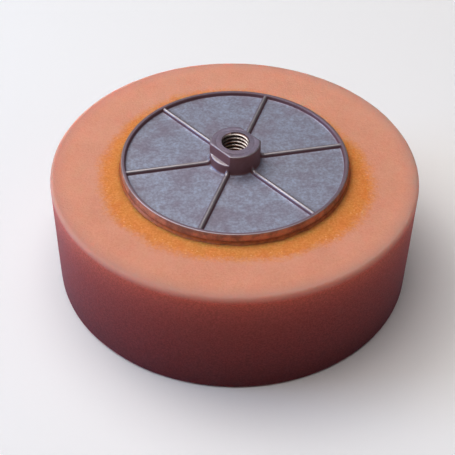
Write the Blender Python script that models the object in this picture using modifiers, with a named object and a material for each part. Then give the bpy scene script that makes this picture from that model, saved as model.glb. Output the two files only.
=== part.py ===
"""Foam polishing pad on a die-cast backing plate that screws onto an M14 polisher spindle.

Metres, +Z up along the spindle axis. The origin is the centre of the foam's working face, so the
pad stands on its working face with the plate on top. Three bodies are stacked and bonded: the
foam block, the film of adhesive and the casting. A small gap keeps their meshes apart.
"""

import math

import bmesh
import bpy
from mathutils import Matrix, Vector

MM = 0.001
GAP = 0.3 * MM  # clearance between the meshes of pieces that touch
TOLERANCE = 0.3 * MM  # for picking edges by their place

# Foam block
FOAM_RADIUS = 85.0 * MM
FOAM_HEIGHT = 57.0 * MM
FOAM_EDGE = 1.2 * MM  # rounding of the cut edges
FOAM_SEGMENTS = 96

# Adhesive film
FILM_THICKNESS = 0.4 * MM
FILM_OVERLAP = 1.2 * MM  # how far it is pressed out past the plate's edge
FILM_HOLE_RADIUS = 9.0 * MM  # kept clear of the thread
FILM_SEGMENTS = 72

# Casting: every height is above the foam's top face
PLATE_RADIUS = 52.25 * MM
PLATE_BASE = FILM_THICKNESS + 2 * GAP
WEB_TOP = 3.0 * MM
RIM_TOP = 4.85 * MM
RIM_WIDTH = 1.6 * MM
RIM_EDGE = 0.3 * MM
DRAFT = 0.3 * MM  # how far the rim's walls lean over their height
PLATE_SEGMENTS = 120

RIB_COUNT = 6
FIRST_RIB_ANGLE = math.radians(13.5)
RIB_WIDTH = 2.4 * MM
RIB_TOP = 4.65 * MM
RIB_EDGE = 0.6 * MM
RIB_GUSSET = 2.4 * MM  # how far the rib's inner end rises up the hub, and how long that rise is

HUB_RADIUS = 11.6 * MM
HUB_TOP = 13.8 * MM
HUB_EDGE = 0.4 * MM
HUB_FILLET = 1.4 * MM  # at the web
FLAT_DISTANCE = 9.5 * MM  # from the axis: 19 mm across the two spanner flats
FLAT_NORMAL_ANGLE = FIRST_RIB_ANGLE + math.radians(30)  # the flats run parallel to two of the ribs
FLAT_LEDGE = 8.5 * MM

# M14 x 2 internal thread, cut right through the hub
THREAD_PITCH = 2.0 * MM
THREAD_MAJOR_RADIUS = 7.0 * MM
THREAD_MINOR_RADIUS = 5.9175 * MM
THREAD_ROOT_FLAT = THREAD_PITCH / 8
THREAD_CREST_FLAT = THREAD_PITCH / 4
THREAD_STEPS = 32
THREAD_START_ANGLE = math.radians(164)  # where the helix starts; its facets miss those of the hub
CHAMFER_RADIUS = 6.3 * MM  # of the broken edge at the mouth
CHAMFER_STEPS = 40

OVERSHOOT = 2.0 * MM  # how far a cutter runs past the face that it cuts


def clear_scene():
    """Removes the objects that are there."""
    for obj in list(bpy.data.objects):
        bpy.data.objects.remove(obj)


def new_collection(name):
    """An empty collection in the scene."""
    collection = bpy.data.collections.new(name)
    bpy.context.scene.collection.children.link(collection)
    return collection


def new_material(name, colour, roughness, metallic=0.0):
    """A Principled material of one colour."""
    material = bpy.data.materials.new(name)
    material.use_nodes = True
    shader = material.node_tree.nodes["Principled BSDF"]
    shader.inputs["Base Color"].default_value = (*colour, 1.0)
    shader.inputs["Roughness"].default_value = roughness
    shader.inputs["Metallic"].default_value = metallic
    return material


def arc(centre, radius, start, end, steps):
    """Points (radius, height) on an arc of a profile, with its angles in degrees."""
    points = []
    for i in range(steps + 1):
        angle = math.radians(start + (end - start) * i / steps)
        points.append((centre[0] + radius * math.cos(angle), centre[1] + radius * math.sin(angle)))
    return points


def new_object(name, mesh, collection):
    """An object for a mesh, in a collection."""
    obj = bpy.data.objects.new(name, mesh)
    collection.objects.link(obj)
    return obj


def turned(name, profile, segments, collection, closed=False, rise=0.0, turns=1):
    """A profile of (radius, height) points turned about Z. With a rise it winds up a helix."""
    mesh = bpy.data.meshes.new(name)
    bm = bmesh.new()
    verts = [bm.verts.new((r, 0.0, z)) for r, z in profile]
    for a, b in zip(verts, verts[1:]):
        bm.edges.new((a, b))
    if closed:
        bm.edges.new((verts[-1], verts[0]))
    bm.to_mesh(mesh)
    bm.free()
    obj = new_object(name, mesh, collection)
    screw = obj.modifiers.new("Turn", "SCREW")
    screw.axis = "Z"
    screw.steps = segments
    screw.render_steps = segments
    screw.screw_offset = rise
    screw.iterations = turns
    screw.use_merge_vertices = True
    screw.merge_threshold = 0.005 * MM
    screw.use_smooth_shade = True
    return obj


def baked(obj):
    """Applies an object's modifiers and returns its mesh."""
    graph = bpy.context.evaluated_depsgraph_get()
    mesh = bpy.data.meshes.new_from_object(obj.evaluated_get(graph), depsgraph=graph)
    obj.modifiers.clear()
    obj.data = mesh
    return mesh


def hide_cutter(obj):
    """Marks an object as a cutter, which isn't a piece of the pad."""
    obj.display_type = "WIRE"
    obj.hide_render = True


def boolean(obj, operation, other):
    """Joins another solid to an object, or cuts it away."""
    modifier = obj.modifiers.new(operation.title() + " " + other.name, "BOOLEAN")
    modifier.operation = operation
    modifier.solver = "EXACT"
    modifier.object = other
    hide_cutter(other)


def shade(mesh):
    """Smooth shading with sharp edges kept."""
    mesh.shade_smooth()
    mesh.set_sharp_from_angle(angle=math.radians(35))


def make_foam_pad(collection):
    """The foam block: a cylinder with slightly rounded cut edges."""
    top = arc((FOAM_RADIUS - FOAM_EDGE, FOAM_HEIGHT - FOAM_EDGE), FOAM_EDGE, 90, 0, 3)
    bottom = arc((FOAM_RADIUS - FOAM_EDGE, FOAM_EDGE), FOAM_EDGE, 0, -90, 3)
    profile = [(0.0, FOAM_HEIGHT)] + top + bottom + [(0.0, 0.0)]
    foam = turned("foam_pad", profile, FOAM_SEGMENTS, collection)
    foam.data.materials.append(new_material("foam", (0.72, 0.33, 0.22), 0.95))
    shade(baked(foam))
    return foam


def make_adhesive_layer(collection):
    """The adhesive film: a thin ring that stays clear of the thread."""
    low = FOAM_HEIGHT + GAP
    high = low + FILM_THICKNESS
    outer = PLATE_RADIUS + FILM_OVERLAP
    profile = [(FILM_HOLE_RADIUS, high), (outer - FILM_THICKNESS / 2, high), (outer, low), (FILM_HOLE_RADIUS, low)]
    film = turned("adhesive_layer", profile, FILM_SEGMENTS, collection, closed=True)
    film.data.materials.append(new_material("adhesive", (0.67, 0.24, 0.06), 0.35))
    shade(baked(film))
    return film


def plate_profile():
    """The casting's half section: hub, web and rim, from the axis outwards and back underneath."""
    base = FOAM_HEIGHT + PLATE_BASE
    web = FOAM_HEIGHT + WEB_TOP
    rim = FOAM_HEIGHT + RIM_TOP
    hub = FOAM_HEIGHT + HUB_TOP
    land_inner = PLATE_RADIUS - RIM_WIDTH
    points = [(0.0, hub), (HUB_RADIUS - HUB_EDGE, hub), (HUB_RADIUS, hub - HUB_EDGE)]
    points += arc((HUB_RADIUS + HUB_FILLET, web + HUB_FILLET), HUB_FILLET, 180, 270, 4)
    points += [(land_inner - DRAFT, web), (land_inner, rim)]
    points += [(PLATE_RADIUS - RIM_EDGE, rim), (PLATE_RADIUS, rim - RIM_EDGE), (PLATE_RADIUS + DRAFT, base)]
    points += [(0.0, base)]
    return points


def rib_outline():
    """A rib's side view (radius, height): it starts inside the hub, rises against it, and ends in the rim."""
    low = FOAM_HEIGHT + (PLATE_BASE + WEB_TOP) / 2
    top = FOAM_HEIGHT + RIB_TOP
    inner = HUB_RADIUS - OVERSHOOT
    outer = PLATE_RADIUS - RIM_WIDTH / 2
    points = [(inner, low), (outer, low), (outer, top)]
    points += arc((HUB_RADIUS + RIB_GUSSET, top + RIB_GUSSET), RIB_GUSSET, 270, 180, 4)
    points += [(inner, top + RIB_GUSSET)]
    return points


def make_rib(index, collection):
    """One radial rib: its side view, extruded to its width, with its long edges taken off."""
    rib = new_object(f"rib_{index + 1}", bpy.data.meshes.new("rib"), collection)
    bm = bmesh.new()
    outline = [bm.verts.new((r, -RIB_WIDTH / 2, z)) for r, z in rib_outline()]
    side = bm.faces.new(outline)
    moved = bmesh.ops.extrude_face_region(bm, geom=[side])["geom"]
    verts = [item for item in moved if isinstance(item, bmesh.types.BMVert)]
    bmesh.ops.translate(bm, vec=(0.0, RIB_WIDTH, 0.0), verts=verts)
    top = FOAM_HEIGHT + RIB_TOP - TOLERANCE
    edges = [e for e in bm.edges if is_long_top_edge(e, top)]
    bmesh.ops.bevel(bm, geom=edges, offset=RIB_EDGE, segments=2, profile=0.5, affect="EDGES")
    bmesh.ops.recalc_face_normals(bm, faces=bm.faces)
    bm.transform(Matrix.Rotation(FIRST_RIB_ANGLE + math.tau * index / RIB_COUNT, 4, "Z"))
    bm.to_mesh(rib.data)
    bm.free()
    return rib


def is_long_top_edge(edge, height):
    """True for an edge that runs along a rib's upper side."""
    a, b = (v.co for v in edge.verts)
    return min(a.z, b.z) > height and abs(a.y - b.y) < TOLERANCE


def make_thread_cutter(collection):
    """An M14 x 2 threaded rod: one pitch of the thread's profile, wound up a helix and closed at both ends."""
    slope = (THREAD_PITCH - THREAD_ROOT_FLAT - THREAD_CREST_FLAT) / 2
    heights = [0.0, THREAD_CREST_FLAT, THREAD_CREST_FLAT + slope, THREAD_CREST_FLAT + slope + THREAD_ROOT_FLAT]
    radii = [THREAD_MINOR_RADIUS, THREAD_MINOR_RADIUS, THREAD_MAJOR_RADIUS, THREAD_MAJOR_RADIUS]
    profile = list(zip(radii, heights)) + [(THREAD_MINOR_RADIUS, THREAD_PITCH)]
    length = HUB_TOP - PLATE_BASE + 4 * THREAD_PITCH
    turns = math.ceil(length / THREAD_PITCH)
    start = FOAM_HEIGHT + PLATE_BASE - 2 * THREAD_PITCH
    rod = turned(
        "thread_cutter",
        list(reversed(profile)),
        THREAD_STEPS,
        collection,
        rise=THREAD_PITCH,
        turns=turns,
    )
    mesh = baked(rod)
    bm = bmesh.new()
    bm.from_mesh(mesh)
    bmesh.ops.remove_doubles(bm, verts=bm.verts, dist=0.005 * MM)
    close_end(bm, lambda z: z < 1.5 * THREAD_PITCH, -THREAD_PITCH)
    close_end(bm, lambda z: z > (turns - 0.5) * THREAD_PITCH, (turns + 2) * THREAD_PITCH)
    bmesh.ops.recalc_face_normals(bm, faces=bm.faces)
    bm.transform(Matrix.Translation((0.0, 0.0, start)) @ Matrix.Rotation(THREAD_START_ANGLE, 4, "Z"))
    bm.to_mesh(mesh)
    bm.free()
    return rod


def close_end(bm, is_at_end, tip_height):
    """Closes an open end with a cone whose tip is on the axis."""
    rim = [e for e in bm.edges if e.is_boundary and all(is_at_end(v.co.z) for v in e.verts)]
    made = bmesh.ops.extrude_edge_only(bm, edges=rim)["geom"]
    verts = [item for item in made if isinstance(item, bmesh.types.BMVert)]
    bmesh.ops.pointmerge(bm, verts=verts, merge_co=Vector((0.0, 0.0, tip_height)))


def make_chamfer_cutter(collection):
    """The 45 degree edge break at the thread's mouth."""
    top = FOAM_HEIGHT + HUB_TOP
    wide = CHAMFER_RADIUS + OVERSHOOT
    profile = [(0.0, top + OVERSHOOT), (wide, top + OVERSHOOT), (0.0, top - CHAMFER_RADIUS)]
    cutter = turned("chamfer_cutter", profile, CHAMFER_STEPS, collection)
    baked(cutter)
    return cutter


def make_flat_cutter(name, angle, collection):
    """A block that takes one spanner flat off the hub, down to the ledge."""
    depth = HUB_RADIUS - FLAT_DISTANCE + OVERSHOOT
    height = HUB_TOP - FLAT_LEDGE + OVERSHOOT
    cutter = new_object(name, bpy.data.meshes.new(name), collection)
    bm = bmesh.new()
    bmesh.ops.create_cube(bm, size=1.0)
    bmesh.ops.scale(bm, vec=(depth, 2 * HUB_RADIUS + OVERSHOOT, height), verts=bm.verts)
    centre = (FLAT_DISTANCE + depth / 2, 0.0, FOAM_HEIGHT + FLAT_LEDGE + height / 2)
    bmesh.ops.translate(bm, vec=centre, verts=bm.verts)
    bm.transform(Matrix.Rotation(angle, 4, "Z"))
    bm.to_mesh(cutter.data)
    bm.free()
    return cutter


def make_backing_plate(collection, cutters):
    """The casting: hub, web and rim in one turned body, six ribs, then the flats and the thread."""
    plate = turned("backing_plate", plate_profile(), PLATE_SEGMENTS, collection)
    plate.data.materials.append(new_material("cast_metal", (0.26, 0.27, 0.34), 0.45, 1.0))
    baked(plate)
    for index in range(RIB_COUNT):
        boolean(plate, "UNION", make_rib(index, cutters))
    for number, turn in enumerate((0.0, math.pi)):
        name = f"flat_cutter_{number + 1}"
        boolean(plate, "DIFFERENCE", make_flat_cutter(name, FLAT_NORMAL_ANGLE + turn, cutters))
    boolean(plate, "DIFFERENCE", make_chamfer_cutter(cutters))
    boolean(plate, "DIFFERENCE", make_thread_cutter(cutters))
    shade(baked(plate))
    return plate


def main():
    clear_scene()
    pad = new_collection("foam_polishing_pad")
    cutters = new_collection("cutters")
    make_foam_pad(pad)
    make_adhesive_layer(pad)
    make_backing_plate(pad, cutters)


main()
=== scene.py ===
"""Looks of the foam polishing pad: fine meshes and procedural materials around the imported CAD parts.

Three pieces: the foam block, the cured adhesive and the die-cast backing plate. Sizes are in metres,
and places come from the CAD nodes' boxes.
"""

import math

import bmesh
import bpy
import numpy as np
from mathutils import Matrix, Vector, noise


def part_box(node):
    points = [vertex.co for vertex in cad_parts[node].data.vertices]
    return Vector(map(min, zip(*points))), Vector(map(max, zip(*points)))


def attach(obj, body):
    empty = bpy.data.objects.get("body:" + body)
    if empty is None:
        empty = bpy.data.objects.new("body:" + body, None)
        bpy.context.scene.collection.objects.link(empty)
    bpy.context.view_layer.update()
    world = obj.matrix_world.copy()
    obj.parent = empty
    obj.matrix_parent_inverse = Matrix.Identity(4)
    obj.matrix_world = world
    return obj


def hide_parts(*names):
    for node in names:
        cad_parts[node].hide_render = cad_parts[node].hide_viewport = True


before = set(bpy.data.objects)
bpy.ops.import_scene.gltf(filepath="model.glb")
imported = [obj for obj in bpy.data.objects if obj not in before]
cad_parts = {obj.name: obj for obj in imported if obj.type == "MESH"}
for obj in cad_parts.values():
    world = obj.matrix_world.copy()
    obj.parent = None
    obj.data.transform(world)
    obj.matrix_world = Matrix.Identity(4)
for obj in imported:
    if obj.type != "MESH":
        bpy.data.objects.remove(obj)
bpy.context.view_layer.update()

MM = 0.001
CLEARANCE = 0.03 * MM  # between the surfaces of pieces that touch

# Places from the frame
FOAM_LOW, FOAM_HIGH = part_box("foam_pad")
PLATE_LOW, PLATE_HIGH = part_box("backing_plate")
FOAM_RADIUS = (FOAM_HIGH.x - FOAM_LOW.x) / 2
FOAM_TOP = FOAM_HIGH.z
HUB_TOP = PLATE_HIGH.z
PLATE_BASE = PLATE_LOW.z

# Casting
PLATE_RADIUS = 52.25 * MM
WEB_TOP = FOAM_TOP + 3.0 * MM
RIM_RISE = 1.85 * MM  # above the web
RIM_WIDTH = 1.6 * MM
RIM_INNER_RADIUS = PLATE_RADIUS - RIM_WIDTH
WALL_LEAN = 0.3 * MM
FOOT_BEVEL = 0.1 * MM
RIB_COUNT = 6
FIRST_RIB_ANGLE = math.radians(13.5)
RIB_RISE = 1.65 * MM  # above the web
RIB_GUSSET = 2.4 * MM
HUB_RADIUS = 11.6 * MM
HUB_FILLET = 1.4 * MM
RIB_FOOT_FILLET = 0.12 * MM
FLAT_DISTANCE = 9.5 * MM  # from the axis
FLAT_NORMAL_ANGLE = FIRST_RIB_ANGLE + math.radians(30)
LEDGE = FOAM_TOP + 8.5 * MM
BORE_BLANK_RADIUS = 4.0 * MM  # inside the thread, which is cut afterwards

# M14 x 2 thread
PITCH = 2.0 * MM
MAJOR_RADIUS = 7.0 * MM
MINOR_RADIUS = 5.9175 * MM
CHAMFER_RADIUS = 6.3 * MM
CHAMFER_STEPS = 120
THREAD_STEPS = 96
THREAD_START_ANGLE = math.radians(164)

# Foam
FOAM_TOP_EDGE = 1.8 * MM  # rounding of the cut edges
FOAM_BOTTOM_EDGE = 1.2 * MM
FOAM_GRID = 1.0 * MM
HIDDEN_GRID = 5.0 * MM
UNDERSIDE_GRID = 1.8 * MM
FOAM_WAVE_SIZE = 28 * MM
FOAM_WAVE_DEPTH = 0.30 * MM
FOAM_GRAIN_SIZE = 2.4 * MM
FOAM_GRAIN_DEPTH = 0.12 * MM

# Adhesive
FILM_HOLE_RADIUS = 9.0 * MM
BEAD_COLUMNS = 480
BEAD_WIDTH = 0.8 * MM  # past the plate's foot, on average
BEAD_HEIGHT = 0.6 * MM  # above the foam, on average
BEAD_TUCK = 1.0 * MM  # how far in from the plate's foot the bead's underside has a point of its own
SOAK_RADIUS = 61.0 * MM  # how far the adhesive has soaked into the foam, on average
SOAK_LOBES = ((1, 3.2 * MM, 265), (2, 1.5 * MM, 327), (3, 1.7 * MM, 338))  # count, reach, direction
SOAK_FADE = 7.0 * MM

# Key light: its direction and its apparent size, in degrees, and its colour
KEY_AZIMUTH = 160
KEY_ELEVATION = 71
KEY_SPREAD = 72
KEY_COLOUR = (1.0, 0.98, 0.96)

# Surround: what lights the pad, and what the camera sees
SURROUND_LIGHT = (0.064, 0.056, 0.060)
SURROUND_SEEN = (0.9, 0.9, 0.9)
FLOOR_REACH = 4.0

# Camera, round the middle of the foam's top face
CAMERA_DISTANCE = 481.7 * MM
CAMERA_ELEVATION = math.radians(39.42)
CAMERA_PITCH = math.radians(42.857)
CAMERA_YAW = math.radians(0.446)
CAMERA_ROLL = math.radians(0.956)
CAMERA_LENS = 82.27  # in mm, as is the sensor's width
SENSOR_WIDTH = 36.0
VIEW_GAMMA = 0.8  # under 1, it deepens the shades


# ---------------------------------------------------------------- meshes


def new_piece(name, points, faces):
    """A mesh object from points and faces."""
    mesh = bpy.data.meshes.new(name)
    mesh.from_pydata([tuple(p) for p in points], [], faces)
    mesh.validate()
    obj = bpy.data.objects.new(name, mesh)
    bpy.context.scene.collection.objects.link(obj)
    return obj


def smooth_shading(obj, degrees):
    """Smooth shading, except at edges that turn by more than an angle."""
    obj.data.shade_smooth()
    obj.data.set_sharp_from_angle(angle=math.radians(degrees))


def ring_faces(rows, columns, round_on_itself=False):
    """Quads between successive rings of points, ordered so that they face out.

    Rings that go round on themselves, such as a tyre's, have the last one joined to the first.
    """
    faces = []
    for i in range(rows if round_on_itself else rows - 1):
        a, b = i * columns, (i + 1) % rows * columns
        for j in range(columns):
            k = (j + 1) % columns
            faces.append((a + j, b + j, b + k, a + k))
    return faces


def closed_rings(name, rings):
    """A closed body from rings that run from its top middle, over its outside, to its bottom middle."""
    columns = len(rings[0])
    points = np.concatenate(rings)
    faces = ring_faces(len(rings), columns)
    faces.append(tuple(range(columns)))
    last = (len(rings) - 1) * columns
    faces.append(tuple(last + j for j in reversed(range(columns))))
    return new_piece(name, points, faces)


def polar_ring(radius, angles, height):
    """One ring of points. Radius and height are numbers or one value for each angle."""
    ring = np.empty((len(angles), 3))
    ring[:, 0] = radius * np.cos(angles)
    ring[:, 1] = radius * np.sin(angles)
    ring[:, 2] = height
    return ring


def bake(obj):
    """Applies an object's modifiers."""
    graph = bpy.context.evaluated_depsgraph_get()
    mesh = bpy.data.meshes.new_from_object(obj.evaluated_get(graph), depsgraph=graph)
    obj.modifiers.clear()
    obj.data = mesh


# ---------------------------------------------------------------- casting

# Half of a rib's cross-section: distance from its middle line, and share of its height
RIB_SECTION = (
    (0.0, 1.0),
    (0.22 * MM, 0.985),
    (0.44 * MM, 0.94),
    (0.66 * MM, 0.86),
    (0.86 * MM, 0.73),
    (1.02 * MM, 0.56),
    (1.14 * MM, 0.36),
    (1.26 * MM, 0.17),
    (1.42 * MM, 0.05),
    (1.70 * MM, 0.0),
)
COLUMNS_BETWEEN_RIBS = 22

# The rim's cross-section: distance from its land's inner edge, and share of its height
RIM_SECTION = (
    (-1.0 * MM, 0.0),
    (-0.6 * MM, 0.03),
    (-0.36 * MM, 0.12),
    (-0.2 * MM, 0.35),
    (-0.06 * MM, 0.72),
    (0.04 * MM, 0.90),
    (0.2 * MM, 0.98),
    (0.45 * MM, 1.0),
    (RIM_WIDTH - 0.35 * MM, 1.0),
    (RIM_WIDTH - 0.12 * MM, 0.95),
    (RIM_WIDTH, 0.84),
)

# The ring that the facing tool left on the hub's top: radius and depth
FACING_GROOVE = ((8.45 * MM, 0.0), (8.60 * MM, 0.05 * MM), (8.90 * MM, 0.05 * MM), (9.02 * MM, 0.0))

# The rounded upper edge of the hub: distances inwards and down, in millimetres
HUB_EDGE_SECTION = ((0.8, 0.0), (0.6, 0.04), (0.38, 0.14), (0.2, 0.28), (0.08, 0.48), (0.0, 0.75))

# The ledge under a flat: share of its width, and distance down, in millimetres
LEDGE_SECTION = ((0.06, -0.06), (0.2, 0.0), (0.5, 0.05), (0.75, 0.16), (0.9, 0.32), (0.97, 0.5))
LEDGE_CORNER = 0.30 * MM  # how far above the ledge the flat ends
LEDGE_EDGE = 0.75 * MM  # how far under the ledge the hub is round again

# Where rings of points lie on the casting's curved stretches
STEPS_FROM_HUB = np.array([0.0, 0.03, 0.1, 0.22, 0.4, 0.65, 0.95, 1.3, 1.7, 2.1, 2.5, 3.2]) * MM
STEPS_UP_RIM = np.array([-1.6, -1.0, -0.8, -0.6, -0.46, -0.36, -0.28, -0.2, -0.13, -0.06]) * MM
STEPS_ON_LAND = np.array([0.04, 0.12, 0.2, 0.45]) * MM
STEPS_FROM_EDGE = np.array([0.8, 0.35, 0.22, 0.12, 0.05, 0.0]) * MM
WEB_RINGS = 26


def casting_angles(radius):
    """Every column's angle at a radius, with its distance from the nearest rib's middle line.

    Columns on a rib run parallel to it, and those between two ribs share the gap evenly.
    """
    half = [y for y, share in RIB_SECTION]
    offsets = np.array([-y for y in reversed(half[1:])] + half)
    pitch = math.tau / RIB_COUNT
    angles, distances = [], []
    for rib in range(RIB_COUNT):
        middle = FIRST_RIB_ANGLE + rib * pitch
        angles.extend(middle + np.arcsin(offsets / radius))
        distances.extend(np.abs(offsets))
        edge = math.asin(half[-1] / radius)
        gap = np.linspace(middle + edge, middle + pitch - edge, COLUMNS_BETWEEN_RIBS + 2)[1:-1]
        angles.extend(gap)
        distances.extend([half[-1]] * len(gap))
    return np.array(angles), np.array(distances)


def smooth_max(a, b, fillet):
    """The larger of two heights, with a fillet where they meet."""
    mix = np.clip(0.5 + 0.5 * (a - b) / fillet, 0, 1)
    return b + (a - b) * mix + fillet * mix * (1 - mix)


def concave_rise(distance, radius):
    """Height of a quarter-circle fillet at a distance from the wall that it runs up."""
    x = np.clip(radius - distance, 0, radius)
    return radius - np.sqrt(radius * radius - x * x)


def rim_rise(radius):
    """The rim's height above the web: a fillet, a leaning inner wall and a rounded land."""
    distances, shares = zip(*RIM_SECTION)
    return RIM_RISE * np.interp(radius - RIM_INNER_RADIUS, distances, shares)


def web_unevenness(x, y):
    """Slight waviness of the cast web."""
    coarse = noise.noise(Vector((x, y, 0.0)) / (17 * MM))
    fine = noise.noise(Vector((x, y, 0.05)) / (6 * MM))
    return 0.05 * MM * coarse + 0.02 * MM * fine


def casting_surface(radius):
    """One ring of the casting's upper side between hub and rim."""
    angles, distances = casting_angles(radius)
    section_y, section_share = zip(*RIB_SECTION)
    share = np.interp(distances, section_y, section_share)
    from_hub = radius - HUB_RADIUS
    base = concave_rise(from_hub, HUB_FILLET) + rim_rise(radius)
    rib = share * (RIB_RISE + concave_rise(from_hub, RIB_GUSSET))
    rise = np.where(share > 0, smooth_max(rib, base, RIB_FOOT_FILLET), base)
    ring = polar_ring(radius, angles, WEB_TOP + rise)
    flat_part = np.clip(1 - rise / RIB_RISE, 0, 1)
    for point, weight in zip(ring, flat_part):
        point[2] += weight * web_unevenness(point[0], point[1])
    return ring


def snapped_hub_angles():
    """The columns' angles on the hub, with the nearest ones moved onto the corners of the two flats."""
    angles, _ = casting_angles(HUB_RADIUS)
    half = math.acos(FLAT_DISTANCE / HUB_RADIUS)
    start = angles[0]
    known, wanted = [0.0, math.tau], [0.0, math.tau]
    for side in (0, math.pi):
        for corner in (FLAT_NORMAL_ANGLE + side - half, FLAT_NORMAL_ANGLE + side + half):
            turn = (corner - start) % math.tau
            nearest = angles[np.argmin(np.abs((angles - start) - turn))] - start
            known.append(nearest)
            wanted.append(turn)
    order = np.argsort(known)
    return start + np.interp(angles - start, np.array(known)[order], np.array(wanted)[order])


def hub_outline(angles, inset):
    """Radius of the hub's upper part: round, with two flats, all moved in by an inset."""
    across = np.abs(np.cos(angles - FLAT_NORMAL_ANGLE))
    return np.minimum(HUB_RADIUS - inset, (FLAT_DISTANCE - inset) / np.maximum(across, 1e-6))


def hub_rings():
    """The hub from its top face down to where its fillet starts."""
    angles = snapped_hub_angles()
    rings = [polar_ring(BORE_BLANK_RADIUS, angles, HUB_TOP)]
    for radius, depth in FACING_GROOVE:
        rings.append(polar_ring(radius, angles, HUB_TOP - depth))
    for inset, drop in HUB_EDGE_SECTION:
        rings.append(polar_ring(hub_outline(angles, inset * MM), angles, HUB_TOP - drop * MM))
    upper = hub_outline(angles, 0.0)
    ledge_width = HUB_RADIUS - upper
    rings.append(polar_ring(upper, angles, (HUB_TOP + LEDGE) / 2))
    rings.append(polar_ring(upper, angles, LEDGE + LEDGE_CORNER))
    for share, drop in LEDGE_SECTION:
        rings.append(polar_ring(upper + ledge_width * share, angles, LEDGE - drop * MM))
    rings.append(polar_ring(HUB_RADIUS, angles, LEDGE - LEDGE_EDGE))
    bottom = casting_surface(HUB_RADIUS)
    for share in (0.3, 0.6, 0.85):
        turned = angles + (casting_angles(HUB_RADIUS)[0] - angles) * share
        height = (LEDGE - LEDGE_EDGE) * (1 - share) + bottom[:, 2] * share
        rings.append(polar_ring(HUB_RADIUS, turned, height))
    return rings


def web_radii():
    """Radii of the rings between the hub's wall and the rim's outer edge, closest where it curves."""
    return np.concatenate([
        HUB_RADIUS + STEPS_FROM_HUB,
        np.linspace(HUB_RADIUS + 4.4 * MM, RIM_INNER_RADIUS - 2.4 * MM, WEB_RINGS),
        RIM_INNER_RADIUS + STEPS_UP_RIM,
        RIM_INNER_RADIUS + STEPS_ON_LAND,
        PLATE_RADIUS - STEPS_FROM_EDGE,
    ])


def casting_rings():
    """All rings of the casting, from its top middle to its bottom middle."""
    rings = hub_rings()
    for radius in web_radii():
        rings.append(casting_surface(radius))
    angles, _ = casting_angles(PLATE_RADIUS)
    top = WEB_TOP + rim_rise(PLATE_RADIUS)
    for share in (0.15, 0.4, 0.7, 0.92):
        height = top + (PLATE_BASE - top) * share
        rings.append(polar_ring(PLATE_RADIUS + WALL_LEAN * share, angles, height))
    rings.append(polar_ring(PLATE_RADIUS + WALL_LEAN - FOOT_BEVEL, angles, PLATE_BASE))
    for radius in (HUB_RADIUS, BORE_BLANK_RADIUS):
        rings.append(polar_ring(radius, snapped_hub_angles(), PLATE_BASE))
    return rings


def thread_rod():
    """A threaded rod that cuts the thread: its profile over one pitch, wound up a helix."""
    root, crest = PITCH / 8, PITCH / 4
    flank = (PITCH - root - crest) / 2
    rounding = 0.05 * MM
    profile = (
        (MINOR_RADIUS, 0.0),
        (MINOR_RADIUS, crest),
        (MAJOR_RADIUS - rounding, crest + 0.97 * flank),
        (MAJOR_RADIUS, crest + flank + 0.3 * root),
        (MAJOR_RADIUS, crest + flank + 0.7 * root),
        (MAJOR_RADIUS - rounding, crest + 1.03 * flank + root),
        (MINOR_RADIUS, PITCH),
    )
    turns = math.ceil((HUB_TOP - PLATE_BASE) / PITCH) + 4
    start = PLATE_BASE - 2 * PITCH
    bm = bmesh.new()
    rows = []
    for i in range(turns * THREAD_STEPS + 1):
        angle = THREAD_START_ANGLE + math.tau * i / THREAD_STEPS
        rise = start + PITCH * i / THREAD_STEPS
        along = (math.cos(angle), math.sin(angle))
        rows.append([bm.verts.new((r * along[0], r * along[1], rise + z)) for r, z in profile])
    for row, following in zip(rows, rows[1:]):
        for j in range(len(profile) - 1):
            bm.faces.new((row[j], following[j], following[j + 1], row[j + 1]))
    bmesh.ops.remove_doubles(bm, verts=bm.verts, dist=0.001 * MM)
    close_end(bm, lambda z: z < start + 1.5 * PITCH, start - PITCH)
    close_end(bm, lambda z: z > start + (turns - 0.5) * PITCH, start + (turns + 2) * PITCH)
    bmesh.ops.recalc_face_normals(bm, faces=bm.faces)
    return cutter_from("thread_cutter", bm)


def close_end(bm, is_at_end, tip_height):
    """Closes an open end with a cone whose tip is on the axis."""
    rim = [e for e in bm.edges if e.is_boundary and all(is_at_end(v.co.z) for v in e.verts)]
    made = bmesh.ops.extrude_edge_only(bm, edges=rim)["geom"]
    verts = [item for item in made if isinstance(item, bmesh.types.BMVert)]
    bmesh.ops.pointmerge(bm, verts=verts, merge_co=Vector((0.0, 0.0, tip_height)))


def countersink():
    """A cone that cuts the 45 degree countersink at the thread's mouth."""
    over = 1.0 * MM
    bm = bmesh.new()
    depth = CHAMFER_RADIUS + over
    bmesh.ops.create_cone(
        bm,
        cap_ends=True,
        segments=CHAMFER_STEPS,
        radius1=0.0,
        radius2=depth,
        depth=depth,
        matrix=Matrix.Translation((0.0, 0.0, HUB_TOP + over - depth / 2)),
    )
    return cutter_from("countersink_cutter", bm)


def cutter_from(name, bm):
    """An object that cuts others and isn't shown."""
    mesh = bpy.data.meshes.new(name)
    bm.to_mesh(mesh)
    bm.free()
    cutter = bpy.data.objects.new(name, mesh)
    bpy.context.scene.collection.objects.link(cutter)
    return cutter


def cut(obj, cutter):
    """Takes a cutter's shape out of an object, then deletes the cutter."""
    modifier = obj.modifiers.new("Cut", "BOOLEAN")
    modifier.operation = "DIFFERENCE"
    modifier.solver = "EXACT"
    modifier.object = cutter
    bake(obj)
    bpy.data.objects.remove(cutter)


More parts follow.
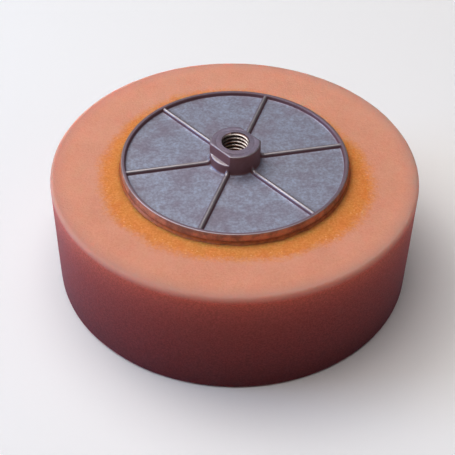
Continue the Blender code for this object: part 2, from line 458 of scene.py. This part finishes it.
def make_casting():
    """The die-cast backing plate with its tapped bore."""
    casting = closed_rings("cast_plate", casting_rings())
    cut(casting, countersink())
    cut(casting, thread_rod())
    casting.data.materials.clear()
    casting.data.materials.append(cast_aluminium())
    casting.data.materials.append(machined_aluminium())
    for face in casting.data.polygons:
        inside = math.hypot(face.center.x, face.center.y) < MAJOR_RADIUS + 0.1 * MM
        below_top = face.center.z < HUB_TOP - 0.01 * MM
        face.material_index = 1 if inside and below_top else 0
    smooth_shading(casting, degrees=32)
    return casting


# ---------------------------------------------------------------- foam


def foam_sink(point):
    """How far the foam's cut surface lies inside its outline: soft waves and a fine grain."""
    wave = 0.5 + 0.5 * noise.noise(point / FOAM_WAVE_SIZE)
    grain = 0.5 + 0.5 * noise.noise(point / FOAM_GRAIN_SIZE)
    return max(FOAM_WAVE_DEPTH * wave + FOAM_GRAIN_DEPTH * grain, 0.0)


def foam_top_height(x, y):
    """Height of the foam's top face at a place."""
    return FOAM_TOP - foam_sink(Vector((x, y, FOAM_TOP)))


def foam_profile():
    """The foam's outline from the middle of its top, over its side, to the middle of its underside.

    Each point is a radius, a height and the slope of the outline's normal in degrees.
    """
    bottom, side = FOAM_LOW.z, FOAM_RADIUS
    shown = PLATE_RADIUS - 2 * FOAM_GRID  # the plate covers what is inside this radius
    radii = np.concatenate([
        np.arange(HIDDEN_GRID, shown, HIDDEN_GRID),
        np.arange(shown, side - FOAM_TOP_EDGE, FOAM_GRID),
    ])
    profile = [(r, FOAM_TOP, 90) for r in radii]
    profile += rounded_corner(side - FOAM_TOP_EDGE, FOAM_TOP - FOAM_TOP_EDGE, FOAM_TOP_EDGE, 90, 0)
    lowest = bottom + FOAM_BOTTOM_EDGE + FOAM_GRID / 2
    heights = np.arange(FOAM_TOP - FOAM_TOP_EDGE - FOAM_GRID, lowest, -FOAM_GRID)
    profile += [(side, z, 0) for z in heights]
    flat = side - FOAM_BOTTOM_EDGE
    profile += rounded_corner(flat, bottom + FOAM_BOTTOM_EDGE, FOAM_BOTTOM_EDGE, 0, -90)
    radii = np.arange(flat - UNDERSIDE_GRID, 2 * UNDERSIDE_GRID, -UNDERSIDE_GRID)
    profile += [(r, bottom, -90) for r in radii]
    return profile


def rounded_corner(radius, height, rounding, start, end, steps=4):
    """Profile points on a quarter circle round (radius, height)."""
    points = []
    for slope in np.linspace(start, end, steps + 1):
        turn = math.radians(slope)
        points.append((radius + rounding * math.cos(turn), height + rounding * math.sin(turn), slope))
    return points


def make_foam():
    """The foam block with its cut, slightly uneven surface."""
    columns = round(math.tau * FOAM_RADIUS / FOAM_GRID)
    angles = np.linspace(0, math.tau, columns, endpoint=False)
    rings = []
    for radius, height, slope in foam_profile():
        ring = polar_ring(radius, angles, height)
        out, up = math.cos(math.radians(slope)), math.sin(math.radians(slope))
        for point, angle in zip(ring, angles):
            sink = foam_sink(Vector(point))
            point -= sink * np.array((out * math.cos(angle), out * math.sin(angle), up))
        rings.append(ring)
    foam = closed_rings("foam_block", rings)
    foam.data.shade_smooth()
    foam.data.materials.append(open_cell_foam())
    return foam


# ---------------------------------------------------------------- adhesive


def wall_radius(height):
    """Radius of the plate's outer wall at a height."""
    share = np.clip((height - PLATE_BASE) / (WEB_TOP + RIM_RISE - PLATE_BASE), 0, 1)
    return PLATE_RADIUS + WALL_LEAN * (1 - share)


def bead_section(angle):
    """The adhesive's cross-section at an angle: a film under the plate and a bead along its foot.

    Points without a height lie on the foam.
    """
    along = Vector((math.cos(angle), math.sin(angle), 0.0))
    wander = noise.noise(along * 9.0) + 0.5 * noise.noise(along * 31.0)
    width = BEAD_WIDTH * (1 + 0.45 * wander)
    height = BEAD_HEIGHT * (1 + 0.5 * noise.noise(along * 14.0 + Vector((0, 0, 3))))
    film_top = PLATE_BASE - CLEARANCE
    foot = PLATE_RADIUS + WALL_LEAN + CLEARANCE
    crest = max(FOAM_TOP + height, film_top + 0.1 * MM)
    section = [(FILM_HOLE_RADIUS, film_top), (foot, film_top), (wall_radius(crest) + CLEARANCE, crest)]
    for share in (0.12, 0.3, 0.5, 0.7, 0.86, 0.96):
        fall = (1 - share) ** 1.6
        section.append((foot + width * share, FOAM_TOP + (crest - FOAM_TOP) * fall))
    for radius in (foot + width, foot + 0.4 * width, foot - BEAD_TUCK, FILM_HOLE_RADIUS):
        section.append((radius, None))
    points = []
    for radius, z in section:
        place = along * radius
        surface = foam_top_height(place.x, place.y) + CLEARANCE
        points.append((place.x, place.y, surface if z is None else max(z, surface + 0.02 * MM)))
    return points


def make_adhesive():
    """The cured adhesive: the film that holds the plate and what it pressed out round the foot."""
    angles = np.linspace(0, math.tau, BEAD_COLUMNS, endpoint=False)
    rings = list(zip(*[bead_section(angle) for angle in angles]))
    faces = ring_faces(len(rings), BEAD_COLUMNS, round_on_itself=True)
    adhesive = new_piece("cured_adhesive", np.concatenate(rings), faces)
    smooth_shading(adhesive, degrees=50)
    adhesive.data.materials.append(amber_adhesive())
    return adhesive


# ---------------------------------------------------------------- materials


def new_material(name):
    """A material with its node tree and its Principled shader."""
    material = bpy.data.materials.new(name)
    material.use_nodes = True
    tree = material.node_tree
    return material, tree, tree.nodes["Principled BSDF"]


def add_node(tree, kind, inputs=(), output=0, **settings):
    """Adds a node, sets its options and inputs, and returns one of its outputs.

    Inputs are pairs of a socket's name or number with a value or another node's output.
    """
    node = tree.nodes.new(kind)
    for option, value in settings.items():
        setattr(node, option, value)
    for socket, value in inputs:
        connect(tree, node.inputs[socket], value)
    return node.outputs[output]


def connect(tree, socket, value):
    """Feeds a socket with another node's output, or sets its own value."""
    if isinstance(value, bpy.types.NodeSocket):
        tree.links.new(value, socket)
    elif isinstance(value, tuple) and len(value) == 3 and socket.type == "RGBA":
        socket.default_value = (*value, 1.0)
    else:
        socket.default_value = value


def place_of(tree):
    """The place on the object, in metres."""
    return add_node(tree, "ShaderNodeTexCoord", output="Object")


def maths(tree, operation, a, b=0.0):
    """A sum, product or other operation of two values."""
    return add_node(tree, "ShaderNodeMath", ((0, a), (1, b)), operation=operation)


def noise_of(tree, place, size, detail=3.0, roughness=0.55):
    """Noise from 0 to 1 with features of a given size."""
    inputs = (("Vector", place), ("Scale", 1 / size), ("Detail", detail), ("Roughness", roughness))
    return add_node(tree, "ShaderNodeTexNoise", inputs, output="Fac")


def cells_of(tree, place, size):
    """Distance from the middle of the nearest of many cells of a given size."""
    inputs = (("Vector", place), ("Scale", 1 / size))
    return add_node(tree, "ShaderNodeTexVoronoi", inputs, output="Distance")


def remap(tree, value, low, high, to_low=0.0, to_high=1.0, curve="SMOOTHSTEP"):
    """Maps a range of values to another one, held at its ends."""
    source = (("Value", value), ("From Min", low), ("From Max", high))
    target = (("To Min", to_low), ("To Max", to_high))
    return add_node(tree, "ShaderNodeMapRange", source + target, interpolation_type=curve)


def blend(tree, share, a, b):
    """A mix of two colours, which a Mix node takes in sockets 6 and 7 and gives in socket 2."""
    return add_node(tree, "ShaderNodeMix", ((0, share), (6, a), (7, b)), output=2, data_type="RGBA")


def tint(tree, colour, mask, strength, other):
    """A colour that turns towards another one where a mask is 1."""
    return blend(tree, maths(tree, "MULTIPLY", mask, strength), colour, other)


def inverse(tree, mask):
    """A mask that is 1 where the other one is 0."""
    return maths(tree, "SUBTRACT", 1.0, mask)


def bump(tree, height, distance, strength=1.0, normal=None):
    """A bump from a height of 0 to 1."""
    inputs = [("Height", height), ("Distance", distance), ("Strength", strength)]
    if normal is not None:
        inputs.append(("Normal", normal))
    return add_node(tree, "ShaderNodeBump", inputs)


def polar(tree, place):
    """Distance from the axis, angle round it, and height."""
    no_height = ((0, place), (1, (1.0, 1.0, 0.0)))
    flat = add_node(tree, "ShaderNodeVectorMath", no_height, operation="MULTIPLY")
    radius = add_node(tree, "ShaderNodeVectorMath", ((0, flat),), output="Value", operation="LENGTH")
    split = tree.nodes.new("ShaderNodeSeparateXYZ")
    tree.links.new(place, split.inputs[0])
    angle = maths(tree, "ARCTAN2", split.outputs["Y"], split.outputs["X"])
    return radius, angle, split.outputs["Z"]


def soaked_share(tree, place, radius, angle, height):
    """How much adhesive the foam holds: full near the plate, none past a wandering, speckled edge."""
    edge = SOAK_RADIUS
    for count, reach, direction in SOAK_LOBES:
        turn = maths(tree, "SUBTRACT", angle, math.radians(direction))
        lobe = maths(tree, "COSINE", maths(tree, "MULTIPLY", turn, float(count)))
        edge = maths(tree, "ADD", edge, maths(tree, "MULTIPLY", lobe, reach))
    wander = maths(tree, "SUBTRACT", noise_of(tree, place, 9 * MM, 2.0), 0.5)
    specks = maths(tree, "SUBTRACT", noise_of(tree, place, 1.5 * MM, 2.0), 0.5)
    edge = maths(tree, "ADD", edge, maths(tree, "MULTIPLY", wander, 6 * MM))
    edge = maths(tree, "ADD", edge, maths(tree, "MULTIPLY", specks, 7 * MM))
    past = maths(tree, "SUBTRACT", radius, edge)
    share = remap(tree, past, -SOAK_FADE / 2, SOAK_FADE / 2, 1.0, 0.0)
    depth = remap(tree, height, FOAM_TOP - 4 * MM, FOAM_TOP - 1 * MM)
    return maths(tree, "MULTIPLY", share, depth)


def foam_top_colour(tree, place, radius, grain):
    """The cut top face: salmon with pale grain, and painted shade that browns and greys it towards the
    edge.
    """
    mottle = remap(tree, noise_of(tree, place, 14 * MM, 4.0), 0.3, 0.7)
    colour = blend(tree, mottle, (0.70, 0.352, 0.25), (0.73, 0.378, 0.272))
    colour = tint(tree, colour, grain, 0.30, (0.80, 0.46, 0.34))
    # painted shade: the top browns and then greys towards its rounded edge
    edge_shade = remap(tree, radius, FOAM_RADIUS - 9 * MM, FOAM_RADIUS - 1 * MM)
    colour = tint(tree, colour, edge_shade, 0.6, (0.57, 0.34, 0.28))
    edge_grey_shade = remap(tree, radius, FOAM_RADIUS - 4 * MM, FOAM_RADIUS - 0.8 * MM)
    return tint(tree, colour, edge_grey_shade, 0.35, (0.44, 0.285, 0.265))


def foam_side_painted_shade(tree, place, height):
    """The side, its colour painted with shade: a darker red-brown than the top, darker still towards
    the bottom, with a painted glow in a brighter band under the top edge.
    """
    # painted shade: the side is darker and redder than the top, and darkens further towards the bottom
    drop = remap(tree, height, FOAM_TOP, FOAM_LOW.z, curve="LINEAR")
    colour = blend(tree, drop, (0.39, 0.098, 0.086), (0.168, 0.044, 0.050))
    # painted glow: a brighter band under the top edge, fading downwards
    below_edge = maths(tree, "SUBTRACT", height, FOAM_TOP - 3 * MM)
    painted_glow = maths(tree, "EXPONENT", maths(tree, "DIVIDE", below_edge, 7 * MM))
    colour = blend(tree, maths(tree, "MINIMUM", painted_glow, 1.0), colour, (0.57, 0.155, 0.112))
    flecks = remap(tree, noise_of(tree, place, 0.8 * MM, 3.0), 0.3, 0.7, 0.84, 1.16)
    return add_node(tree, "ShaderNodeHueSaturation", (("Value", flecks), ("Color", colour)))


def soaked_colour(tree, place, radius, grain):
    """Foam full of adhesive: amber, with darker pools, bare pale specks far out and painted shade next
    to the plate's foot.
    """
    colour = blend(tree, grain, (0.72, 0.285, 0.078), (0.81, 0.37, 0.13))
    pools = remap(tree, noise_of(tree, place, 4 * MM, 3.0), 0.45, 0.75)
    colour = tint(tree, colour, pools, 0.4, (0.66, 0.235, 0.055))
    bare = remap(tree, cells_of(tree, place, 2.4 * MM), 0.20, 0.10)
    far_out = remap(tree, radius, SOAK_RADIUS - 5 * MM, SOAK_RADIUS, 0.0, 0.7)
    colour = blend(tree, maths(tree, "MULTIPLY", bare, far_out), colour, (0.90, 0.56, 0.34))
    # painted shade on the foam along the plate's foot
    foot_shade = remap(tree, radius, PLATE_RADIUS + 3 * MM, PLATE_RADIUS + 1 * MM)
    return tint(tree, colour, foot_shade, 0.4, (0.58, 0.15, 0.05))


def open_cell_foam():
    """Polyurethane foam: salmon top, a side painted with shade in red-brown, and adhesive soaked in
    round the plate.
    """
    material, tree, shader = new_material("open_cell_foam")
    place = place_of(tree)
    radius, angle, height = polar(tree, place)
    soaked = soaked_share(tree, place, radius, angle, height)

    grain = remap(tree, noise_of(tree, place, 1.0 * MM, 2.0), 0.32, 0.68)
    below_edge = remap(tree, height, FOAM_TOP - 0.4 * MM, FOAM_TOP - 4 * MM)
    outside = remap(tree, radius, FOAM_RADIUS - 2 * MM, FOAM_RADIUS - 0.5 * MM)
    on_side = maths(tree, "MULTIPLY", below_edge, outside)
    top = foam_top_colour(tree, place, radius, grain)
    # the side's colour is painted shade
    dry_colour = blend(tree, on_side, top, foam_side_painted_shade(tree, place, height))
    colour = blend(tree, soaked, dry_colour, soaked_colour(tree, place, radius, grain))
    connect(tree, shader.inputs["Base Color"], colour)

    dry_roughness = maths(tree, "MULTIPLY", inverse(tree, soaked), 0.95)
    pools = remap(tree, noise_of(tree, place, 3 * MM, 2.0), 0.35, 0.65, 0.42, 0.75)
    soaked_roughness = maths(tree, "MULTIPLY", soaked, pools)
    connect(tree, shader.inputs["Roughness"], maths(tree, "ADD", dry_roughness, soaked_roughness))

    pores = remap(tree, cells_of(tree, place, 0.8 * MM), 0.0, 0.6)
    fine = bump(tree, pores, 0.12 * MM, 0.6)
    grainy = bump(tree, noise_of(tree, place, 2.2 * MM, 3.0), 0.25 * MM, 0.5, fine)
    connect(tree, shader.inputs["Normal"], grainy)

    shader.inputs["Subsurface Weight"].default_value = 1.0
    shader.inputs["Subsurface Radius"].default_value = (1.0, 0.28, 0.22)
    shader.inputs["Subsurface Scale"].default_value = 12 * MM
    shader.inputs["Specular IOR Level"].default_value = 0.25
    shader.inputs["Sheen Weight"].default_value = 0.12
    shader.inputs["Sheen Roughness"].default_value = 0.4
    shader.inputs["Sheen Tint"].default_value = (0.70, 0.78, 1.0, 1.0)
    return material


def amber_adhesive():
    """Cured contact adhesive: dark amber, semi-gloss, lumpy."""
    material, tree, shader = new_material("amber_adhesive")
    place = place_of(tree)
    lumps = noise_of(tree, place, 2.5 * MM, 3.0)
    colour = blend(tree, remap(tree, lumps, 0.3, 0.7), (0.39, 0.125, 0.052), (0.56, 0.195, 0.07))
    connect(tree, shader.inputs["Base Color"], colour)
    connect(tree, shader.inputs["Roughness"], remap(tree, lumps, 0.3, 0.7, 0.28, 0.5))
    connect(tree, shader.inputs["Normal"], bump(tree, lumps, 0.2 * MM, 0.5))
    shader.inputs["Subsurface Weight"].default_value = 0.3
    shader.inputs["Subsurface Radius"].default_value = (1.0, 0.4, 0.1)
    shader.inputs["Subsurface Scale"].default_value = 1.5 * MM
    return material


def casting_masks(tree, radius, height):
    """Where the casting's skin differs: a mask for each kind of place, by name."""
    normal = add_node(tree, "ShaderNodeNewGeometry", output="Normal")
    upward = add_node(tree, "ShaderNodeSeparateXYZ", ((0, normal),), output="Z")
    wall = remap(tree, maths(tree, "ABSOLUTE", upward), 0.75, 0.25)
    level = inverse(tree, wall)
    under_top = remap(tree, height, HUB_TOP - 0.05 * MM, HUB_TOP - 0.10 * MM)
    off_rim = remap(tree, radius, RIM_INNER_RADIUS, RIM_INNER_RADIUS - RIM_WIDTH / 2)
    rim_edge = remap(tree, radius, PLATE_RADIUS - 0.5 * MM, PLATE_RADIUS - 0.2 * MM)

    # ridges: raised level places such as rib crests, the hub's edges and the rim's outer edge, rubbed
    # more metallic and lightened as a painted highlight
    raised = remap(tree, height, WEB_TOP + 0.8 * MM, WEB_TOP + 1.3 * MM)
    rubbed_ridge_highlight = maths(tree, "MULTIPLY", maths(tree, "MULTIPLY", raised, under_top), level)
    rubbed_ridge_highlight = maths(tree, "MULTIPLY", rubbed_ridge_highlight, maths(tree, "ADD", off_rim, rim_edge))

    # the corner mask marks the feet of the ribs and the rim, which get painted shade
    over_web = remap(tree, height, WEB_TOP + 0.06 * MM, WEB_TOP + 0.25 * MM)
    under_ridge = remap(tree, height, WEB_TOP + 1.3 * MM, WEB_TOP + 0.8 * MM)
    off_hub = remap(tree, radius, HUB_RADIUS + 1.5 * MM, HUB_RADIUS + 3.0 * MM)
    corner = maths(tree, "MULTIPLY", maths(tree, "MULTIPLY", over_web, under_ridge), off_hub)

    return {
        "wall": wall,
        "hub_top": inverse(tree, under_top),
        "land": maths(tree, "MULTIPLY", inverse(tree, off_rim), level),
        "rubbed_ridge_highlight": rubbed_ridge_highlight,
        "corner": corner,
        "outer_wall": remap(tree, radius, PLATE_RADIUS - 0.1 * MM, PLATE_RADIUS + 0.05 * MM),
    }


def casting_colour(tree, place, masks, clouds, stains):
    """Bluish grey with stains and dark grain; painted shade browns the corners, painted shade and a
    painted reflection of the foam brown the walls, and ridges carry a painted highlight.
    """
    grain = remap(tree, noise_of(tree, place, 1.3 * MM, 3.0), 0.35, 0.65)
    colour = blend(tree, clouds, (0.455, 0.51, 0.635), (0.36, 0.365, 0.45))
    colour = tint(tree, colour, masks["hub_top"], 0.8, (0.29, 0.235, 0.31))
    colour = tint(tree, colour, stains, 0.52, (0.26, 0.195, 0.235))
    colour = tint(tree, colour, grain, 0.45, (0.24, 0.215, 0.26))
    colour = tint(tree, colour, masks["land"], 0.85, (0.26, 0.18, 0.21))
    # painted highlight on the ridges
    colour = tint(tree, colour, masks["rubbed_ridge_highlight"], 0.8, (0.46, 0.42, 0.425))
    # painted shade and a painted reflection of the amber foam: steep faces turn red-brown
    colour = tint(tree, colour, masks["wall"], 0.9, (0.36, 0.175, 0.165))
    # painted shade in the corners at the feet of ribs and rim
    colour = tint(tree, colour, masks["corner"], 0.85, (0.25, 0.14, 0.165))
    # painted reflection of the amber foam on the plate's outer wall, mottled
    foam_reflection = remap(tree, noise_of(tree, place, 6 * MM, 5.0, 0.65), 0.35, 0.65)
    foam_reflection = blend(tree, foam_reflection, (0.86, 0.48, 0.34), (0.45, 0.26, 0.21))
    return tint(tree, colour, masks["outer_wall"], 0.8, foam_reflection)


def cast_aluminium():
    """Die-cast skin: bluish grey with darker flow marks, painted shade in the corners, and rubbed
    ridges with a painted highlight.
    """
    material, tree, shader = new_material("cast_aluminium")
    place = place_of(tree)
    radius, _, height = polar(tree, place)
    masks = casting_masks(tree, radius, height)

    clouds = remap(tree, noise_of(tree, place, 4 * MM, 8.0, 0.75), 0.34, 0.66)
    stains = remap(tree, noise_of(tree, place, 15 * MM, 8.0, 0.66), 0.44, 0.66)
    # stains, deepened round the hub's foot with painted shade
    hub_foot_shade = remap(tree, radius, HUB_RADIUS + 7 * MM, HUB_RADIUS + 1 * MM, 0.0, 0.8)
    stains = maths(tree, "ADD", stains, maths(tree, "MULTIPLY", hub_foot_shade, clouds))
    colour = casting_colour(tree, place, masks, clouds, stains)
    connect(tree, shader.inputs["Base Color"], colour)
    connect(tree, shader.inputs["Metallic"], remap(tree, masks["rubbed_ridge_highlight"], 0.0, 1.0, 0.4, 0.85))
    rough = remap(tree, stains, 0.0, 1.0, 0.46, 0.56)
    rough = maths(tree, "ADD", rough, maths(tree, "MULTIPLY", masks["corner"], 0.2))
    connect(tree, shader.inputs["Roughness"], rough)

    skin = bump(tree, noise_of(tree, place, 0.7 * MM, 3.0), 0.05 * MM, 0.6)
    rolled = bump(tree, noise_of(tree, place, 5 * MM, 3.0), 0.12 * MM, 0.5, skin)
    facing = maths(tree, "SINE", maths(tree, "MULTIPLY", radius, math.tau / (0.35 * MM)))
    facing = maths(tree, "MULTIPLY", facing, masks["hub_top"])
    connect(tree, shader.inputs["Normal"], bump(tree, facing, 0.006 * MM, 0.5, rolled))
    return material


def machined_aluminium():
    """Freshly cut aluminium of the thread and its countersink, with painted shade in the thread's
    roots.
    """
    material, tree, shader = new_material("machined_aluminium")
    place = place_of(tree)
    radius, _, _ = polar(tree, place)
    streaks = noise_of(tree, place, 0.8 * MM, 3.0)
    colour = blend(tree, streaks, (0.68, 0.64, 0.61), (0.48, 0.44, 0.42))
    # painted shade in the thread's roots
    root_shade = remap(tree, radius, MINOR_RADIUS + 0.15 * MM, MINOR_RADIUS + 0.7 * MM, 0.0, 0.92)
    colour = blend(tree, root_shade, colour, (0.13, 0.06, 0.055))
    connect(tree, shader.inputs["Base Color"], colour)
    shader.inputs["Metallic"].default_value = 1.0
    connect(tree, shader.inputs["Roughness"], remap(tree, streaks, 0.3, 0.7, 0.28, 0.42))
    connect(tree, shader.inputs["Normal"], bump(tree, streaks, 0.01 * MM, 0.5))
    return material


def pale_floor():
    """Matt pale studio floor."""
    material, _, shader = new_material("pale_floor")
    shader.inputs["Base Color"].default_value = (0.90, 0.90, 0.90, 1.0)
    shader.inputs["Roughness"].default_value = 0.9
    shader.inputs["Specular IOR Level"].default_value = 0.2
    return material


# ---------------------------------------------------------------- studio


def make_floor():
    """A large flat floor, which the pad stands on."""
    signs = ((-1, -1), (1, -1), (1, 1), (-1, 1))
    corners = [(FLOOR_REACH * x, FLOOR_REACH * y, 0) for x, y in signs]
    floor = new_piece("studio_floor", corners, [(0, 1, 2, 3)])
    floor.data.materials.append(pale_floor())
    return floor


def add_light(data, azimuth, elevation, distance, power, colour):
    """Places a light that faces the pad, at an azimuth counted from +X in degrees."""
    data.energy = power
    data.color = colour
    light = bpy.data.objects.new(data.name, data)
    bpy.context.scene.collection.objects.link(light)
    a, e = math.radians(azimuth), math.radians(elevation)
    out = Vector((math.cos(a) * math.cos(e), math.sin(a) * math.cos(e), math.sin(e)))
    light.location = Vector((0, 0, FOAM_TOP)) + out * distance
    light.rotation_euler = out.to_track_quat("Z", "Y").to_euler()
    light.visible_camera = False


def add_softbox(name, azimuth, elevation, distance, size, power, colour):
    """A square area light."""
    data = bpy.data.lights.new(name, "AREA")
    data.size = size
    add_light(data, azimuth, elevation, distance, power, colour)


def add_sky(name, azimuth, elevation, spread, power, colour):
    """A broad, distant light, which reaches the far floor too."""
    data = bpy.data.lights.new(name, "SUN")
    data.angle = math.radians(spread)
    add_light(data, azimuth, elevation, 2.0, power, colour)


def add_lights():
    """A broad key from the upper left, near and far, and three small lights."""
    key = dict(azimuth=KEY_AZIMUTH, elevation=KEY_ELEVATION, colour=KEY_COLOUR)
    add_softbox("key", distance=1.4, size=2.0, power=13.75, **key)
    add_sky("sky", spread=KEY_SPREAD, power=1.28, **key)
    glint = dict(azimuth=148, elevation=57, distance=1.3, size=0.5)
    add_softbox("glint", power=1.9, colour=(1.0, 0.98, 0.95), **glint)
    left = dict(azimuth=182, elevation=12, distance=1.2, size=0.5)
    add_softbox("left", power=5.6, colour=(0.35, 0.60, 1.0), **left)
    right = dict(azimuth=345, elevation=22, distance=1.2, size=0.5)
    add_softbox("right", power=0.5, colour=(1.0, 0.86, 0.92), **right)


def add_world(light, seen):
    """An even surround: dim as a light, pale where the camera sees it."""
    world = bpy.data.worlds.new("studio")
    world.use_nodes = True
    bpy.context.scene.world = world
    tree = world.node_tree
    background = tree.nodes["Background"]
    direct = add_node(tree, "ShaderNodeLightPath", output="Is Camera Ray")
    connect(tree, background.inputs["Color"], blend(tree, direct, light, seen))


def add_camera():
    """The camera, a little above the pad's front."""
    data = bpy.data.cameras.new("camera")
    data.lens = CAMERA_LENS
    data.sensor_width = SENSOR_WIDTH
    data.clip_start = 0.01
    camera = bpy.data.objects.new("camera", data)
    bpy.context.scene.collection.objects.link(camera)
    away = Vector((0.0, -math.cos(CAMERA_ELEVATION), math.sin(CAMERA_ELEVATION)))
    turn = Matrix.Rotation(CAMERA_YAW, 4, "Z") @ Matrix.Rotation(math.pi / 2 - CAMERA_PITCH, 4, "X")
    place = Matrix.Translation(Vector((0, 0, FOAM_TOP)) + away * CAMERA_DISTANCE)
    camera.matrix_world = place @ turn @ Matrix.Rotation(CAMERA_ROLL, 4, "Z")
    bpy.context.scene.camera = camera


def main():
    """Builds the pieces, hangs each on the root body in place of its CAD part, which it hides, and sets
    up the studio.
    """
    foam = make_foam()
    adhesive = make_adhesive()
    casting = make_casting()
    stands_for = (
        (foam, "foam_pad", "foam"),
        (adhesive, "adhesive_layer", "adhesive"),
        (casting, "backing_plate", "cast_metal"),
    )
    for piece, node, slot in stands_for:
        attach(piece, "root")
        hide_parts(node)
    make_floor()

    add_lights()
    add_world(SURROUND_LIGHT, SURROUND_SEEN)
    add_camera()
    bpy.context.scene.view_settings.view_transform = "Standard"
    bpy.context.scene.view_settings.gamma = VIEW_GAMMA


main()
